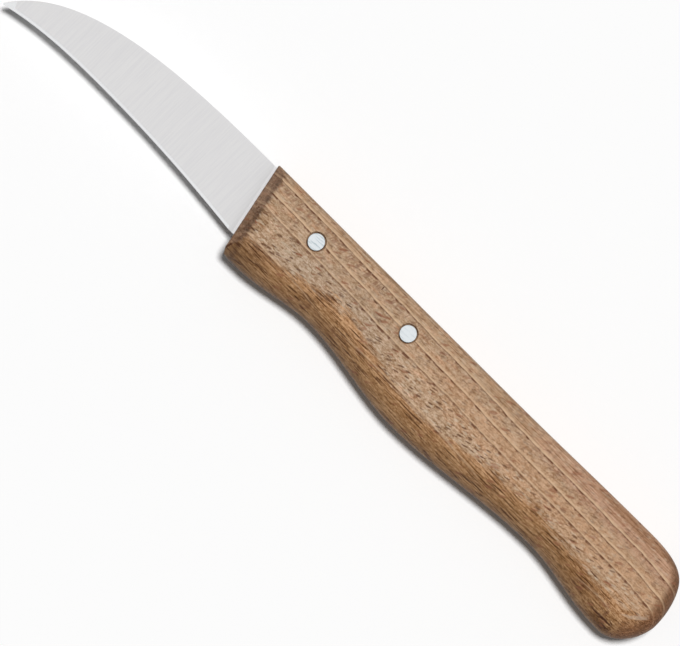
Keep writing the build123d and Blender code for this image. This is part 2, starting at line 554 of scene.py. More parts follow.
@dataclass(frozen=True)
class Wiring:
    """Adds nodes to one node tree and joins them up."""

    tree: bpy.types.NodeTree

    @classmethod
    def for_material(cls, name: str) -> "Wiring":
        """Start the empty node tree of a new material.

        Args:
            name: Name of the material.

        Returns:
            The wiring of its tree.
        """
        material = bpy.data.materials.new(name)
        material.use_nodes = True
        material.node_tree.nodes.clear()
        return cls(material.node_tree)

    def node(
        self, kind: str, inputs: Mapping[str | int, Source] | None = None, **settings: object
    ) -> bpy.types.Node:
        """Add a node.

        Args:
            kind: Type of the node.
            inputs: Number or value for each of its sockets, by name or position.
            **settings: Other settings of the node.

        Returns:
            The new node.
        """
        node = self.tree.nodes.new(f"ShaderNode{kind}")
        for name, setting in settings.items():
            setattr(node, name, setting)
        for key, source in (inputs or {}).items():
            if isinstance(source, Value):
                self.tree.links.new(source.socket, node.inputs[key])
            else:
                node.inputs[key].default_value = source
        return node

    def outputs(self, node: bpy.types.Node) -> list[Value]:
        """List the outputs of a node."""
        return [Value(self, socket) for socket in node.outputs]

    def add(
        self, kind: str, inputs: Mapping[str | int, Source] | None = None, **settings: object
    ) -> Value:
        """Add a node, and return its first output."""
        return Value(self, self.node(kind, inputs, **settings).outputs[0])

    def sum(self, kind: Sum, first: Source, second: Source = 0.0) -> Value:
        """Do a sum with one or two values."""
        return self.add("Math", {0: first, 1: second}, operation=kind.value)

    def length(self, first: Value, second: Value) -> Value:
        """Work out the long side of a right-angled triangle from its two legs."""
        return self.sum(Sum.ROOT, first**2.0 + second**2.0)

    def vector(self, x: Source, y: Source, z: Source) -> Value:
        """Put three values together as a vector."""
        return self.add("CombineXYZ", {0: x, 1: y, 2: z})

    def grey(self, level: Source) -> Value:
        """Make a colour with the same level in all three channels."""
        return self.vector(level, level, level)

    def parts(self, vector: Value) -> Place:
        """Take the three values of a vector apart."""
        return tuple(self.outputs(self.node("SeparateXYZ", {0: vector})))

    def channels(self, colour: Value) -> Place:
        """Take the three channels of a colour apart."""
        return tuple(self.outputs(self.node("SeparateColor", {"Color": colour})))

    def stretched(self, place: Place, scales: Sequence[float]) -> Value:
        """Scale a place by a factor for each of its three directions."""
        return self.vector(*(part * scale for part, scale in zip(place, scales)))

    def mapped(
        self, point: Value, middle: Sequence[float], slant: float, size: Sequence[float]
    ) -> Value:
        """Measure a point from a middle, along turned axes and in units of a size.

        Args:
            point: The point.
            middle: Where the result is nought.
            slant: Angle from the X axis to the first turned axis, in degrees.
            size: Length of one unit in each direction.

        Returns:
            The measured point.
        """
        turn = (0.0, 0.0, math.radians(slant))
        inputs = {0: point, "Location": middle, "Rotation": turn, "Scale": size}
        return self.add("Mapping", inputs, vector_type="TEXTURE")

    def warped(self, point: Value, noise: Value, sway: float) -> Value:
        """Shift a point along its second axis by a share of a sway either way."""
        shift = self.vector(0.0, noise.sway(sway), 0.0)
        return self.add("VectorMath", {0: point, 1: shift}, operation="ADD")

    def noise(
        self, point: Value, layers: float = 2.0, roughness: float = 0.5, scale: float = 1.0
    ) -> Value:
        """Read a cloudy pattern.

        Args:
            point: Where to read it.
            layers: Number of finer layers.
            roughness: Strength of the finer layers.
            scale: Clouds per unit.

        Returns:
            The pattern, around a half.
        """
        inputs = {"Vector": point, "Scale": scale, "Detail": layers, "Roughness": roughness}
        return self.add("TexNoise", inputs, noise_dimensions="3D")

    def cells(self, point: Value) -> tuple[Value, Value]:
        """Read a pattern of cells that are about one unit apart.

        Args:
            point: Where to read it.

        Returns:
            The distance from the middle of the nearest cell, and that cell's number.
        """
        inputs = {"Vector": point, "Scale": 1.0, "Randomness": 1.0}
        node = self.node("TexVoronoi", inputs, voronoi_dimensions="3D", feature="F1")
        distance, colour = self.outputs(node)[:2]
        return distance, self.channels(colour)[0]

    def ramp(self, value: Value, stops: Sequence[tuple[float, Colour]]) -> Value:
        """Read the colour of the last stop that a value has passed.

        Args:
            value: Place along the row of stops, from nought to one.
            stops: Place and linear colour of each stop, in order.

        Returns:
            The colour.
        """
        node = self.node("ValToRGB", {0: value})
        node.color_ramp.interpolation = "CONSTANT"
        elements = node.color_ramp.elements
        while len(elements) < len(stops):
            elements.new(1.0)
        for element, (place, colour) in zip(elements, stops):
            element.position = place
            element.color = colour
        return self.outputs(node)[0]

    def blend(
        self, share: Source, under: Source, over: Source, kind: Blending = Blending.COVER
    ) -> Value:
        """Lay one colour over another.

        Args:
            share: How much of the second colour shows.
            under: First colour.
            over: Second colour.
            kind: How it is laid on.

        Returns:
            The blended colour.
        """
        first_colour, second_colour, blended = 6, 7, 2
        inputs = {0: share, first_colour: under, second_colour: over}
        node = self.node("Mix", inputs, data_type="RGBA", blend_type=kind.value)
        return self.outputs(node)[blended]

    def millimetres(self) -> Place:
        """Read the place on the piece in millimetres, as X, Y and Z."""
        place = Value(self, self.node("TexCoord").outputs["Object"])
        return self.parts(self.add("VectorMath", {0: place, "Scale": 1 / MM}, operation="SCALE"))

    def from_front(self, place: Place) -> Place:
        """Measure a place from the handle's slanted front, first straight behind it."""
        corner = (SPINE_FRONT.x, SPINE_FRONT.y, 0.0)
        return self.parts(self.mapped(self.vector(*place), corner, FRONT_SLANT, (1.0, 1.0, 1.0)))

    def surface(self, colour: Source, height: Value, coat: Coat) -> bpy.types.Material:
        """End the tree in a surface shader.

        Args:
            colour: Colour of the surface.
            height: Height of its marks, as a share of their depth.
            coat: How it shines and how deep its marks are.

        Returns:
            The material that the tree belongs to.
        """
        depth = coat.mark_depth * MM
        relief = {"Strength": coat.mark_strength, "Distance": depth, "Height": height}
        inputs = {
            "Base Color": colour,
            "Metallic": coat.metallic,
            "Roughness": coat.roughness,
            "Specular IOR Level": coat.specular,
            "Normal": self.add("Bump", relief),
        }
        self.end("Material", self.add("BsdfPrincipled", inputs))
        return next(m for m in bpy.data.materials if m.node_tree == self.tree)

    def end(self, kind: str, shader: Value) -> None:
        """End the tree of a material or a world in a shader."""
        self.node(f"Output{kind}", {"Surface": shader})


@dataclass(frozen=True)
class Fade:
    """A change from one result to another while a value goes from low to high."""

    low: float
    high: float
    start: float = 0.0
    stop: float = 1.0
    soft: bool = True

    def of(self, value: Value) -> Value:
        """Find the result for a value."""
        return value.step(self.low, self.high, self.soft).spread(self.start, self.stop)


@dataclass(frozen=True)
class Cloud:
    """A cloudy pattern: how fine it is each way, how rough, and where it fades."""

    scales: tuple[float, float, float]
    layers: float = 2.0
    roughness: float = 0.5
    fade: Fade = Fade(0.0, 1.0)

    def raw(self, place: Place) -> Value:
        """Read the pattern at a place."""
        wiring = place[0].wiring
        return wiring.noise(wiring.stretched(place, self.scales), self.layers, self.roughness)

    def at(self, place: Place) -> Value:
        """Read the pattern at a place and let it fade."""
        return self.fade.of(self.raw(place))


@dataclass(frozen=True)
class SatinSteel:
    """Stainless steel, ground across the blade to a fine satin."""

    colour: Colour = linear(222, 221, 221)
    streak_colour: Colour = linear(217, 216, 217)
    # Painted highlight: the steel is painted paler in a band just in front of the handle.
    joint_highlight_colour: Colour = linear(249, 249, 250)
    marks: Cloud = Cloud((3.2, 0.12, 1.0), 4.0, 0.6, Fade(0.35, 0.7))
    joint_highlight: Fade = Fade(-0.8, -0.25)
    coat: Coat = Coat(roughness=0.34, mark_strength=0.25, mark_depth=0.01, metallic=1.0)

    def material(self) -> bpy.types.Material:
        """Make the material.

        Returns:
            Steel with faint grinding marks across the blade, and a painted highlight along the
            joint with the handle.
        """
        wiring = Wiring.for_material("satin_steel")
        place = wiring.millimetres()
        marks = self.marks.raw(place)
        ground = wiring.blend(self.marks.fade.of(marks), self.colour, self.streak_colour)
        # Painted highlight: a pale band on the steel within a millimetre in front of the handle's
        # slanted front.
        joint_highlight_share = self.joint_highlight.of(wiring.from_front(place)[0])
        return wiring.surface(wiring.blend(joint_highlight_share, ground, self.joint_highlight_colour), marks, self.coat)


@dataclass(frozen=True)
class HonedSteel:
    """The same steel where the cutting edge is honed, brighter and smoother."""

    colour: Colour = linear(229, 230, 231)
    marks: Cloud = Cloud((0.6, 7.2, 0.6), 3.0)
    coat: Coat = Coat(roughness=0.26, mark_strength=0.2, mark_depth=0.01, metallic=1.0)

    def material(self) -> bpy.types.Material:
        """Make the material, with very fine marks along the edge."""
        wiring = Wiring.for_material("honed_steel")
        return wiring.surface(self.colour, self.marks.raw(wiring.millimetres()), self.coat)


@dataclass(frozen=True)
class BrushedAluminium:
    """Aluminium of the rivets, filed flush with a few slanted marks."""

    colour: Colour = linear(226, 231, 234)
    mark_colour: Colour = linear(186, 197, 202)
    mark_slant: float = 7.0
    mark_size: tuple[float, float, float] = (3.3, 0.42, 1.0)
    marks: Cloud = Cloud((1.0, 1.0, 1.0), 3.0, 0.6, Fade(0.48, 0.64))
    wear: Fade = Fade(-4.0, 4.0, 1.0, 0.35)
    coat: Coat = Coat(roughness=0.3, mark_strength=0.3, mark_depth=0.02, metallic=1.0)

    def material(self) -> bpy.types.Material:
        """Make the material.

        Returns:
            Aluminium with marks slanting over the heads, fainter on the rear rivet.
        """
        wiring = Wiring.for_material("brushed_aluminium")
        place = wiring.millimetres()
        slanted = wiring.mapped(wiring.vector(*place), ORIGIN, self.mark_slant, self.mark_size)
        marks = self.marks.raw(wiring.parts(slanted))
        share = self.marks.fade.of(marks) * self.wear.of(place[0])
        return wiring.surface(wiring.blend(share, self.colour, self.mark_colour), marks, self.coat)


@dataclass(frozen=True)
class SawnBeech:
    """Beech left rough and dark by the saw and the drill."""

    colour: Colour = linear(150, 120, 95)
    burnt_colour: Colour = linear(112, 86, 66)
    scores: Cloud = Cloud((0.6, 3.0, 3.0), 3.0, 0.6, Fade(0.4, 0.65))
    coat: Coat = Coat(roughness=0.8, mark_strength=0.6, mark_depth=0.05, specular=0.2)

    def material(self) -> bpy.types.Material:
        """Make the material.

        Returns:
            Wood with the scores of the tools in it.
        """
        wiring = Wiring.for_material("sawn_beech")
        scores = self.scores.raw(wiring.millimetres())
        colour = wiring.blend(self.scores.fade.of(scores), self.colour, self.burnt_colour)
        return wiring.surface(colour, scores, self.coat)


@dataclass(frozen=True)
class Spots:
    """Spindle-shaped spots, each somewhat irregular, one to a cell of a slanted pattern.

    The size is the spot's share of its cell, the core is the share of the spot that shows
    fully, and kept and full tell how many cells have a spot and a full one.
    """

    spacing: tuple[float, float, float]
    slant: float
    bend: float
    kept: float
    size: float
    strength: float
    raggedness: float = 1.3
    core: float = 0.55
    full: float = 0.4

    def at(self, place: Place) -> Value:
        """Scatter the spots.

        Args:
            place: Place along the grain and in two directions across it.

        Returns:
            A share from nought, off the spots, up to their strength.
        """
        wiring = place[0].wiring
        point = wiring.mapped(wiring.vector(*place), ORIGIN, self.slant, self.spacing)
        rough = wiring.noise(point, scale=self.raggedness)
        distance, number = wiring.cells(wiring.warped(point, rough, self.bend))
        shape = distance.step(self.size, self.size * self.core)
        chosen = number.step(1 - self.kept, 1 - self.kept * self.full)
        return shape * chosen * self.strength


@dataclass(frozen=True)
class Mark:
    """One streak in the handle's face, placed from the front end of the spine."""

    x: float
    y: float
    length: float
    width: float
    slant: float
    strength: float = 0.85


@dataclass(frozen=True)
class Streaks:
    """Single streaks at places of their own."""

    marks: tuple[Mark, ...]
    depth: float = 7.0
    sway: float = 0.2
    wobble: Cloud = Cloud((1.2, 2.5, 1.0), 3.0, 0.6)
    edge: Fade = Fade(1.1, 0.5)

    def at(self, place: Place) -> Value:
        """Draw the streaks.

        Args:
            place: Place on the piece.

        Returns:
            A share from nought, off the streaks, up to their strength.
        """
        wiring = place[0].wiring
        point = wiring.warped(wiring.vector(*place), self.wobble.raw(place), self.sway)
        shapes = []
        for mark in self.marks:
            middle = (SPINE_FRONT.x + mark.x, SPINE_FRONT.y + mark.y, UPPER_SIDE)
            size = (mark.length / 2, mark.width / 2, self.depth)
            inner = wiring.mapped(point, middle, mark.slant, size)
            away = wiring.node("VectorMath", {0: inner}, operation="LENGTH").outputs["Value"]
            shapes.append(self.edge.of(Value(wiring, away)) * mark.strength)
        return reduce(Value.most, shapes)


@dataclass(frozen=True)
class Cut:
    """How the surface cuts through the tree.

    The steepness is how fast the radius changes along the surface. Above and below are
    the distances along it to the inner and outer borders of the ring. The last four are
    shares: rings upright in the surface, rings flat in it, the strip below the spine, and
    fibres cut across.
    """

    place: Place
    normal: Place
    radius: Value
    around: Value
    angle: Value
    steepness: Value
    above: Value
    below: Value
    ring: Value
    quarter: Value
    tangent: Value
    strip: Value
    end: Value

    @property
    def rays(self) -> Place:
        """The place in the tree: along it, around it and out from the pith."""
        return (self.place[0], self.around, self.radius)

    @property
    def lines(self) -> Place:
        """The place by the ring lines: along them, from ring to ring and in from them."""
        return (self.place[0], self.ring, self.below)


@dataclass(frozen=True)
class Tree:
    """The tree round the pith, which lies below the back of the handle.

    Its rings are flattened ellipses. They stand upright in the surface by the spine and
    lie flat in it along the belly. The strip is the last broad ring below the spine.
    """

    pith_x: float = -15.55
    pith_y: float = -6.75
    pith_height: float = 6.5
    pith_slope: float = 0.0235
    flattening: Range = (0.35, 1.1)
    butt_bend: Fade = Fade(74.0, 81.0)
    butt_sink: float = 0.45
    rear_bend: Fade = Fade(46.0, 72.0)
    rear_lift: float = 0.55
    slow_wander: Cloud = Cloud((0.05, 0.1, 0.1), 1.0)
    slow_sway: float = 0.4
    quick_wander: Cloud = Cloud((0.4, 0.5, 0.5), 1.0)
    quick_sway: float = 0.16
    wander_reach: Fade = Fade(6.5, 11.0, 0.15, 1.0)
    least_slope: float = 0.01
    around: float = 12.0
    inner_rings: tuple[float, ...] = (3.9, 7.17, 10.94, TEETH_RADIUS)
    outer_rings: tuple[float, ...] = (STRIP_RADIUS, 22.0, 24.2, 26.4)
    ring_reach: float = 28.0
    ring_numbering: float = 42.0
    quarter: Fade = Fade(math.radians(46.0), math.radians(58.0))
    tangent: Fade = Fade(math.radians(38.0), math.radians(27.0))
    swell_length: float = 46.0
    swell_crest: float = 1.45
    swell_angle: float = 11.0
    rear_angle: float = 15.0
    fraying: Cloud = Cloud((0.22, 1.4, 1.4), 3.0, 0.6)
    fray_sway: float = 0.3
    strip: Fade = Fade(STRIP_RADIUS, STRIP_RADIUS + 0.5)
    front_end: Fade = Fade(-0.15, -0.8)
    butt_end: Fade = Fade(0.02, 0.6)

    def cut(self, wiring: Wiring) -> Cut:
        """Measure the surface from the pith of the tree.

        Args:
            wiring: Tree of the material.

        Returns:
            How the surface cuts through the tree.
        """
        place = wiring.millimetres()
        normal = wiring.parts(Value(wiring, wiring.node("TexCoord").outputs["Normal"]))
        x, y, z = place
        butt = self.butt_bend.of(x)
        lift = self.rear_bend.of(x) * self.rear_lift - butt * self.butt_sink
        side = (y - self.pith_y) + ((x - self.pith_x) * self.pith_slope - lift)
        sinking = butt.spread(*self.flattening)
        depth = (UPPER_SIDE - z) * sinking + self.pith_height
        straight = wiring.length(side, depth)
        slow = self.slow_wander.raw(place).sway(self.slow_sway)
        quick = self.quick_wander.raw(place).sway(self.quick_sway)
        radius = straight + (slow + quick) * self.wander_reach.of(straight)
        angle = wiring.sum(Sum.ANGLE, side, depth)

        rise_y = side / straight
        rise_z = depth * sinking * -1.0 / straight
        inward = rise_y * normal[1] + rise_z * normal[2]
        along = rise_y**2.0 + rise_z**2.0 - inward**2.0
        steepness = wiring.sum(Sum.ROOT, along.most(self.least_slope))
        above, below, ring = self.ring_bounds(radius, steepness)
        return Cut(
            place=place,
            normal=normal,
            radius=radius,
            around=angle * self.around,
            angle=angle,
            steepness=steepness,
            above=above,
            below=below,
            ring=ring,
            quarter=self.quarter.of(angle),
            tangent=self.tangent.of(angle - self.tangent_shift(place)),
            strip=self.strip.of(radius),
            end=self.front_end.of(normal[0]).most(self.butt_end.of(normal[0])),
        )

    def ring_bounds(self, radius: Value, steepness: Value) -> Place:
        """Measure how far the surface reaches on to the borders of its growth ring.

        Args:
            radius: Distance from the pith.
            steepness: How fast that distance changes along the surface.

        Returns:
            Distance from the ring's inner border, distance to its outer border, and a
            number that differs from ring to ring.
        """
        radii = self.inner_rings + self.outer_rings
        inner = [border / self.ring_reach for border in radii]
        stops = [
            (start, (start, end, number / len(inner), 1.0))
            for number, (start, end) in enumerate(zip(inner, [*inner[1:], 1.0]))
        ]
        place = radius / self.ring_reach
        start, end, number = radius.wiring.channels(radius.wiring.ramp(place, stops))
        reach = self.ring_reach / steepness
        return (place - start) * reach, (end - place) * reach, number * self.ring_numbering

    def tangent_shift(self, place: Place) -> Value:
        """Work out how far the border where the rings lie flat swells and frays.

        Args:
            place: Place on the piece.

        Returns:
            The angle round the pith by which it is shifted.
        """
        x = place[0]
        turns = (x - self.swell_crest) / self.swell_length
        swell = x.wiring.sum(Sum.COSINE, turns * math.tau) * math.radians(self.swell_angle)
        frayed = self.fraying.raw(place).sway(self.fray_sway)
        return swell + frayed + self.rear_bend.of(x) * math.radians(self.rear_angle)


@dataclass
class Wood:
    """Surface of the wood while one layer after another is laid on it."""

    cut: Cut
    colour: Value
    relief: Source = 0.0

    def lay(self, colour: Source, share: Source) -> None:
        """Lay a share of a colour over the surface."""
        self.colour = self.colour.wiring.blend(share, self.colour, colour)

    def stain(self, colour: Source, share: Source) -> None:
        """Multiply the colour of the surface by a share of another colour."""
        self.colour = self.colour.wiring.blend(share, self.colour, colour, Blending.STAIN)

    def dim(self, factor: Source, share: Source) -> None:
        """Multiply all channels of the colour of the surface by a share of a factor."""
        self.stain(self.colour.wiring.grey(factor), share)


class Layer(ABC):
    """One layer of the look of the wood."""

    @abstractmethod
    def lay_on(self, wood: Wood) -> None:
        """Lay the layer on the surface of the wood, which is changed."""


@dataclass(frozen=True)
class Tint(Layer):
    """A colour of part of the wood, with borders along the handle and across its rings."""

    colour: Colour
    along: tuple[Fade, ...]
    across: tuple[Fade, ...]
    strength: float = 1.0

    def lay_on(self, wood: Wood) -> None:
        """Lay the tint on.

        Args:
            wood: Surface so far.
        """
        shares = [fade.of(wood.cut.place[0]) for fade in self.along]
        shares += [fade.of(wood.cut.radius) for fade in self.across]
        wood.lay(self.colour, math.prod(shares, start=self.strength))


@dataclass(frozen=True)
class Patches(Layer):
    """Cloudy patches, some warmer than the rest of the wood and some cooler."""

    clouds: Cloud = Cloud((0.3, 0.9, 0.9))
    warm_tint: Colour = linear(189, 150, 119)
    warm: Fade = Fade(0.5, 0.75)
    cool_tint: Colour = linear(178, 150, 123)
    cool: Fade = Fade(0.5, 0.25)

    def lay_on(self, wood: Wood) -> None:
        """Lay the patches on.

        Args:
            wood: Surface so far.
        """
        clouds = self.clouds.raw(wood.cut.place)
        wood.lay(self.warm_tint, self.warm.of(clouds))
        wood.lay(self.cool_tint, self.cool.of(clouds))


@dataclass(frozen=True)
class FlatGround(Layer):
    """Golden ground where the rings lie flat, with painted shade and some wear on the roundings
    that face the belly, away from the key light, and dark at the nose.
    """

    colour: Colour = linear(180, 139, 103)
    # Painted shade with some wear: a darker colour on the faces that turn towards the belly, away
    # from the key light.
    shade_and_wear_colour: Colour = linear(170, 132, 95)
    shade_and_wear_side: Fade = Fade(-0.02, -0.55)
    nose_span: Fade = Fade(-10.0, -22.0)
    nose_share: float = 0.54
    nose_shade: float = 0.5

    def lay_on(self, wood: Wood) -> None:
        """Lay the ground on.

        Args:
            wood: Surface so far.
        """
        cut = wood.cut
        wood.lay(self.colour, cut.tangent)
        # Painted shade, partly wear: the darker colour goes on by how far the surface faces the
        # belly, away from the key light.
        wood.lay(self.shade_and_wear_colour, self.shade_and_wear_side.of(cut.normal[1]))
        low = cut.tangent * self.nose_span.of(cut.place[0])
        wood.dim(self.nose_shade, low * self.nose_share)


@dataclass(frozen=True)
class EndGrain(Layer):
    """The two darker ends, where the fibres are cut across."""

    front_colour: Colour = linear(144, 114, 93)
    butt_colour: Colour = linear(126, 88, 62)
    butt_side: Fade = Fade(-0.1, 0.1)
    butt_tone: Fade = Fade(4.5, -5.0, 0.92, 1.22)
    share: float = 0.9
    bands: Cloud = Cloud((2.6, 0.22, 0.4), 3.0, 0.65, Fade(0.32, 0.68, 0.66, 1.24))
    arris_colour: Colour = linear(98, 74, 60)
    arris_near: Fade = Fade(1.0, 1.8)
    arris_far: Fade = Fade(2.8, 2.1)
    arris_strokes: Cloud = Cloud((0.4, 1.9, 0.3), 3.0, fade=Fade(0.42, 0.6, 0.25, 0.7))

    def lay_on(self, wood: Wood) -> None:
        """Lay the end grain on, and the dark arris behind the front.

        Args:
            wood: Surface so far.
        """
        cut = wood.cut
        wiring = wood.colour.wiring
        butt = self.butt_side.of(cut.normal[0])
        tone = wiring.blend(butt, self.front_colour, self.butt_colour)
        shadow = wiring.grey(self.butt_tone.of(cut.place[1]))
        wood.lay(wiring.blend(butt, tone, shadow, Blending.STAIN), cut.end * self.share)
        behind = wiring.from_front(cut.place)
        arris = self.arris_near.of(behind[0]) * self.arris_far.of(behind[0])
        wood.lay(self.arris_colour, arris * self.arris_strokes.at(behind))
        rings = (cut.radius, cut.around, cut.place[0])
        wood.dim(self.bands.at(rings), cut.end * self.share)


@dataclass(frozen=True)
class FlatGrain(Layer):
    """Waves and thin dark threads where the rings lie flat."""

    light: Colour = (1.1, 1.1, 1.08, 1.0)
    dark: Colour = (0.8, 0.74, 0.66, 1.0)
    waves: Cloud = Cloud((0.2, 1.7, 2.0), 4.0, 0.62, Fade(0.42, 0.6))
    threads: Cloud = Cloud((0.17, 4.2, 3.6), fade=Fade(0.54, 0.6))
    gaps: Cloud = Cloud((0.5, 0.9, 0.9), fade=Fade(0.4, 0.52))
    thread_colour: Colour = linear(72, 40, 22)
    thread_strength: float = 0.85

    def lay_on(self, wood: Wood) -> None:
        """Lay the waves and the threads on.

        Args:
            wood: Surface so far.
        """
        cut = wood.cut
        waves = self.waves.raw(cut.rays)
        bands = waves.wiring.blend(self.waves.fade.of(waves), self.light, self.dark)
        wood.stain(bands, cut.tangent)
        wood.relief = waves + wood.relief
        threads = self.threads.at(cut.rays) * self.gaps.at(cut.rays)
        wood.lay(self.thread_colour, threads * cut.tangent * self.thread_strength)


@dataclass(frozen=True)
class Unevenness(Layer):
    """Fine unevenness all over, warmer where it is darker, and a few darker patches, two of them
    painted shade.
    """

    fibres: Cloud = Cloud((0.16, 4.4, 4.4), 4.0, 0.7, Fade(0.3, 0.7, 0.7, 1.3, False))
    mottle: Cloud = Cloud((1.2, 2.8, 2.8), 2.0, 0.6, Fade(0.32, 0.68, 0.66, 1.34, False))
    specks: Cloud = Cloud((3.4, 5.5, 5.5), 1.0, fade=Fade(0.3, 0.7, 0.76, 1.24, False))
    strip_fibres: Range = (1.0, 2.4)
    tangent_fibres: float = 0.4
    strip_mottle: Range = (1.0, 0.25)
    tangent_mottle: Range = (1.0, 0.85)
    strip_specks: Range = (1.0, 0.5)
    pale_power: float = 0.45
    brown_power: float = 0.72
    quarter_contrast: Range = (1.5, 1.08)
    strip_contrast: Range = (1.0, 1.15)
    rear: Fade = Fade(58.0, 70.0)
    rear_contrast: Range = (1.0, 0.72)
    rear_tangent_contrast: Range = (1.0, 1.3)
    end_contrast: Range = (1.0, 0.6)
    tone_powers: tuple[float, float, float] = (1.0, 1.25, 1.6)
    bars: Cloud = Cloud((1.7, 1.0, 0.3), fade=Fade(0.5, 0.66, 1.0, 0.85))
    patches_and_painted_shade: Streaks = Streaks(
        (
            Mark(94.0, -14.8, 17.0, 7.6, -4.0, 0.19),
            # Painted shade at the butt's lower corner.
            Mark(103.4, -18.6, 8.0, 2.2, -4.0, 0.6),
            # Painted shade along the rounded spine edge towards the butt.
            Mark(97.0, -0.6, 34.0, 1.7, 0.0, 0.26),
            Mark(4.4, -10.4, 5.0, 7.0, -12.0, 0.22),
            Mark(80.0, -11.4, 9.0, 2.6, -5.0, 0.17),
        )
    )

    def level(self, cut: Cut) -> Value:
        """Mix the patterns.

        Args:
            cut: How the surface cuts through the tree.

        Returns:
            A level around one, above it where the wood is paler.
        """
        strip, tangent = cut.strip, cut.tangent
        fineness = strip.spread(*self.strip_fibres) + tangent * self.tangent_fibres
        clouding = strip.spread(*self.strip_mottle) * tangent.spread(*self.tangent_mottle)
        fibres = self.fibres.at(cut.place) ** fineness
        mottle = self.mottle.at(cut.place) ** clouding
        specks = self.specks.at(cut.place) ** strip.spread(*self.strip_specks)
        level = fibres * mottle * specks
        return level.most(1.0) ** self.pale_power * level.least(1.0) ** self.brown_power

    def contrast(self, cut: Cut) -> Value:
        """Find how strongly the patterns show.

        Args:
            cut: How the surface cuts through the tree.

        Returns:
            The power to which their level is raised.
        """
        rear = self.rear.of(cut.place[0])
        sides = cut.quarter.spread(*self.quarter_contrast) * cut.strip.spread(*self.strip_contrast)
        straight = (rear * (1.0 - cut.tangent)).spread(*self.rear_contrast)
        flat = (rear * cut.tangent).spread(*self.rear_tangent_contrast)
        return sides * straight * flat * cut.end.spread(*self.end_contrast)

    def lay_on(self, wood: Wood) -> None:
        """Lay the unevenness on, and the bars across the upright rings.

        Args:
            wood: Surface so far.
        """
        cut = wood.cut
        # The darker patches include painted shade at the butt's lower corner and on the rear spine
        # rounding.
        level = self.level(cut) ** self.contrast(cut) * (1.0 - self.patches_and_painted_shade.at(cut.place))
        wood.stain(level.wiring.vector(*(level**power for power in self.tone_powers)), 1.0)
        wood.dim(self.bars.at(cut.lines), cut.quarter)


@dataclass(frozen=True)
class Speckles(Layer):
    """Red flecks, pale glints, pores and dark spindles, and the single streaks."""

    middle: Range = (1.0, 0.5)
    off_ends: Range = (1.0, 0.0)
    fleck_colour: Colour = linear(140, 92, 68)
    flecks: Spots = Spots((3.0, 0.8, 2.4), 30.0, 0.5, 0.42, 0.4, 0.62)
    glint_colour: Colour = linear(206, 188, 165)
    glints: Spots = Spots((1.7, 0.55, 0.6), 8.0, 0.7, 0.85, 0.45, 0.5)
    pore_colour: Colour = linear(92, 60, 42)
    pores: Spots = Spots((2.0, 0.5, 0.6), 15.0, 0.6, 0.9, 0.42, 0.76)
    dark_colour: Colour = linear(72, 40, 22)
    spindles: Spots = Spots((9.0, 0.8, 2.2), 0.6, 0.25, 0.95, 0.27, 0.85)
    red: Streaks = Streaks(
        (
            Mark(4.6, -10.7, 1.2, 0.5, -30.0, 0.9),
            Mark(19.9, -2.7, 2.2, 0.55, 35.0),
            Mark(33.4, -6.5, 3.2, 0.5, 15.0),
            Mark(14.5, -9.3, 2.0, 0.42, 20.0, 0.9),
            Mark(19.1, -8.6, 2.0, 0.36, 8.0),
            Mark(40.2, -9.2, 1.9, 0.36, 20.0),
            Mark(81.2, -10.0, 2.1, 0.42, 10.0, 0.9),
            Mark(93.6, -2.1, 1.0, 0.8, 0.0, 0.5),
            Mark(99.4, -11.9, 2.8, 0.42, 15.0, 0.9),
        )
    )
    dark: Streaks = Streaks(
        (
            Mark(3.95, -17.5, 2.6, 0.5, 76.0),
            Mark(4.4, -14.9, 3.0, 0.3, 84.0, 0.4),
            Mark(5.1, -16.1, 1.9, 0.42, 0.0),
            Mark(8.4, -13.9, 5.2, 0.26, 5.0),
            Mark(7.2, -18.5, 3.6, 0.32, 8.0),
            Mark(9.3, -16.5, 4.0, 0.26, 7.0),
            Mark(5.1, -12.0, 1.5, 0.36, 0.0),
            Mark(30.2, -2.6, 1.0, 0.3, 90.0),
            Mark(31.0, -5.4, 1.4, 0.32, 0.0),
            Mark(23.4, -11.6, 5.4, 0.26, 6.0),
            Mark(30.4, -14.1, 4.8, 0.26, -1.0),
            Mark(18.3, -14.8, 3.2, 0.34, 5.0),
            Mark(22.3, -15.9, 3.2, 0.26, 2.0),
            Mark(34.1, -15.9, 3.4, 0.28, -4.0),
            Mark(28.1, -9.4, 2.0, 0.28, 10.0),
            Mark(30.5, -8.1, 1.2, 0.32, 10.0),
            Mark(72.0, -14.0, 4.4, 0.26, 5.0),
            Mark(66.4, -16.9, 4.2, 0.4, 5.0),
            Mark(96.3, -12.6, 2.8, 0.28, -2.0),
            Mark(102.8, -17.3, 7.8, 0.5, 1.0, 1.0),
        )
    )

    def lay_on(self, wood: Wood) -> None:
        """Lay the spots and streaks on, the dark ones sunk into the surface.

        Args:
            wood: Surface so far.
        """
        cut = wood.cut
        place = cut.place
        middle = cut.quarter.spread(*self.middle) - cut.tangent
        wood.lay(self.fleck_colour, self.flecks.at(place).most(self.red.at(place)))
        off_ends = cut.end.spread(*self.off_ends)
        wood.lay(self.glint_colour, self.glints.at(place) * middle * off_ends)
        pores = self.pores.at(place) * middle
        wood.lay(self.pore_colour, pores)
        dark = (self.spindles.at(cut.rays) * cut.tangent).most(self.dark.at(place))
        wood.lay(self.dark_colour, dark)
        wood.relief = wood.relief - pores.most(dark)


